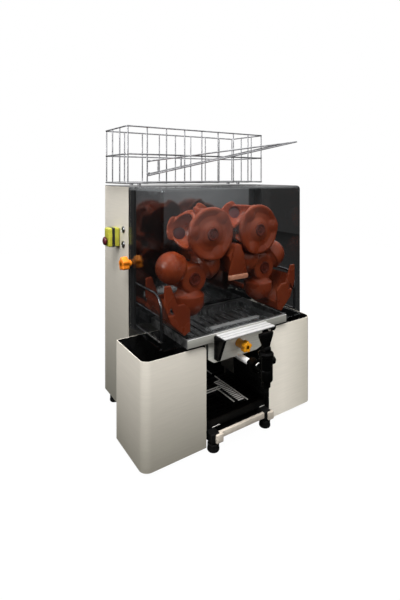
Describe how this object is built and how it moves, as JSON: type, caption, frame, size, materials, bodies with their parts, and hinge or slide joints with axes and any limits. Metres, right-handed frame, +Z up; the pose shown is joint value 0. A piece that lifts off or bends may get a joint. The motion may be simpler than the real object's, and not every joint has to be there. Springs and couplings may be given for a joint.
{
  "type": "automatic orange juicer",
  "caption": "Counter machine that halves and presses oranges between geared drums behind a clear cover, with basket, tap and peel bins.",
  "frame": {"origin": "centre of the bounding box on the surface that the feet stand on", "axes": "+Z up, +Y towards the back of the machine, +X to the right seen from the front"},
  "size_m": [0.5, 0.437, 0.74],
  "materials": {
    "champagne": "satin metallic paint",
    "steel": "brushed",
    "chrome": "polished wire",
    "dark_steel": "plain machined",
    "terracotta": "moulded, satin",
    "orange": "moulded",
    "black": "moulded",
    "rubber": "matt",
    "white": "ribbed",
    "beige": "satin paint",
    "yellow": "moulded",
    "red": "moulded",
    "green": "moulded",
    "clear": "clear polycarbonate"
  },
  "bodies": {
    "root": {"left_side_panel": "champagne", "right_side_panel": "champagne", "top_panel": "steel", "rear_cover": "champagne", "front_plate": "steel", "base_plate": "steel", "cover_frame": "black", "base_frame": "beige", "front_left_foot": "rubber", "front_right_foot": "rubber", "rear_left_foot": "rubber", "rear_right_foot": "rubber", "drip_tray": "black", "left_bearing_block": "dark_steel", "right_bearing_block": "dark_steel", "gear_housing": "steel", "drive_motor": "dark_steel", "mains_inlet": "black", "control_box": "dark_steel", "knife_holder": "terracotta", "knife_blade": "chrome", "left_ejector": "terracotta", "right_ejector": "terracotta", "left_peel_guard": "chrome", "right_peel_guard": "chrome", "left_bin_shelf": "dark_steel", "right_bin_shelf": "dark_steel", "stop_box": "yellow"},
    "upper_left_rotor": {"upper_left_drum": "terracotta", "upper_left_shaft": "steel", "upper_left_gear": "dark_steel"},
    "lower_left_rotor": {"lower_left_drum": "terracotta", "lower_left_shaft": "steel", "lower_left_gear": "dark_steel"},
    "upper_right_rotor": {"upper_right_drum": "terracotta", "upper_right_shaft": "steel", "upper_right_gear": "dark_steel"},
    "lower_right_rotor": {"lower_right_drum": "terracotta", "lower_right_shaft": "steel", "lower_right_gear": "dark_steel"},
    "pinion": {"motor_pinion": "dark_steel"},
    "cover": {"clear_cover": "clear"},
    "left_lock": {"left_cover_knob": "orange"},
    "right_lock": {"right_cover_knob": "orange"},
    "tank": {"juice_tank": "steel", "outlet_pipe": "chrome", "tap_body": "black", "ledge": "white", "ledge_bracket": "black"},
    "tank_lock": {"tank_knob": "orange"},
    "lever": {"tap_lever": "black"},
    "filter": {"strainer": "steel"},
    "left_bin": {"left_peel_bin": "champagne"},
    "right_bin": {"right_peel_bin": "champagne"},
    "grid": {"jug_grid": "steel"},
    "fruit_basket": {"basket": "chrome", "feed_guide": "chrome"},
    "stop": {"stop_button": "red"},
    "start": {"start_button": "green"},
    "reset": {"reset_button": "black"}
  },
  "joints": [
    {"name": "upper_left_turn", "type": "hinge", "parent": "root", "child": "upper_left_rotor", "pos_m": [-0.072, -0.0555, 0.484], "axis": [0, 1, 0], "continuous": true},
    {"name": "lower_left_turn", "type": "hinge", "parent": "root", "child": "lower_left_rotor", "pos_m": [-0.107, -0.0555, 0.38183], "axis": [0, 1, 0], "continuous": true},
    {"name": "upper_right_turn", "type": "hinge", "parent": "root", "child": "upper_right_rotor", "pos_m": [0.072, -0.0555, 0.484], "axis": [0, 1, 0], "continuous": true},
    {"name": "lower_right_turn", "type": "hinge", "parent": "root", "child": "lower_right_rotor", "pos_m": [0.107, -0.0555, 0.38183], "axis": [0, 1, 0], "continuous": true},
    {"name": "pinion_turn", "type": "hinge", "parent": "root", "child": "pinion", "pos_m": [-0.107, 0.1025, 0.30083], "axis": [0, 1, 0], "continuous": true},
    {"name": "cover_slide", "type": "slide", "parent": "root", "child": "cover", "axis": [0, -0.9744, 0.225], "range_m": [0, 0.2]},
    {"name": "left_lock_turn", "type": "hinge", "parent": "root", "child": "left_lock", "pos_m": [-0.22, 0.0455, 0.408], "axis": [1, 0, 0], "continuous": true},
    {"name": "right_lock_turn", "type": "hinge", "parent": "root", "child": "right_lock", "pos_m": [0.22, 0.0455, 0.408], "axis": [1, 0, 0], "continuous": true},
    {"name": "tank_slide", "type": "slide", "parent": "root", "child": "tank", "axis": [0, -1, 0], "range_m": [0, 0.14]},
    {"name": "tank_lock_turn", "type": "hinge", "parent": "tank", "child": "tank_lock", "pos_m": [0, -0.1275, 0.222], "axis": [0, 1, 0], "continuous": true},
    {"name": "tap_turn", "type": "hinge", "parent": "tank", "child": "lever", "pos_m": [0, -0.2015, 0.24], "axis": [1, 0, 0], "range_deg": [0, 60]},
    {"name": "strainer_lift", "type": "slide", "parent": "tank", "child": "filter", "axis": [0, 0, 1], "range_m": [0, 0.022]},
    {"name": "left_bin_slide", "type": "slide", "parent": "root", "child": "left_bin", "axis": [0, -1, 0], "range_m": [0, 0.16]},
    {"name": "right_bin_slide", "type": "slide", "parent": "root", "child": "right_bin", "axis": [0, -1, 0], "range_m": [0, 0.16]},
    {"name": "grid_lift", "type": "slide", "parent": "root", "child": "grid", "axis": [0, 0, 1], "range_m": [0, 0.08]},
    {"name": "basket_lift", "type": "slide", "parent": "root", "child": "fruit_basket", "axis": [0, 0, 1], "range_m": [0, 0.15]},
    {"name": "stop_press", "type": "slide", "parent": "root", "child": "stop", "axis": [1, 0, 0], "range_m": [0, 0.0028], "stiffness_N_per_m": 800},
    {"name": "start_press", "type": "slide", "parent": "root", "child": "start", "axis": [1, 0, 0], "range_m": [0, 0.002], "stiffness_N_per_m": 500},
    {"name": "reset_press", "type": "slide", "parent": "root", "child": "reset", "axis": [1, 0, 0], "range_m": [0, 0.002], "stiffness_N_per_m": 500}
  ],
  "couplings": [
    {"joint": "upper_right_turn", "follows": "upper_left_turn", "ratio": -1},
    {"joint": "lower_left_turn", "follows": "upper_left_turn", "ratio": -1},
    {"joint": "lower_right_turn", "follows": "upper_left_turn", "ratio": 1},
    {"joint": "pinion_turn", "follows": "upper_left_turn", "ratio": 2}
  ]
}
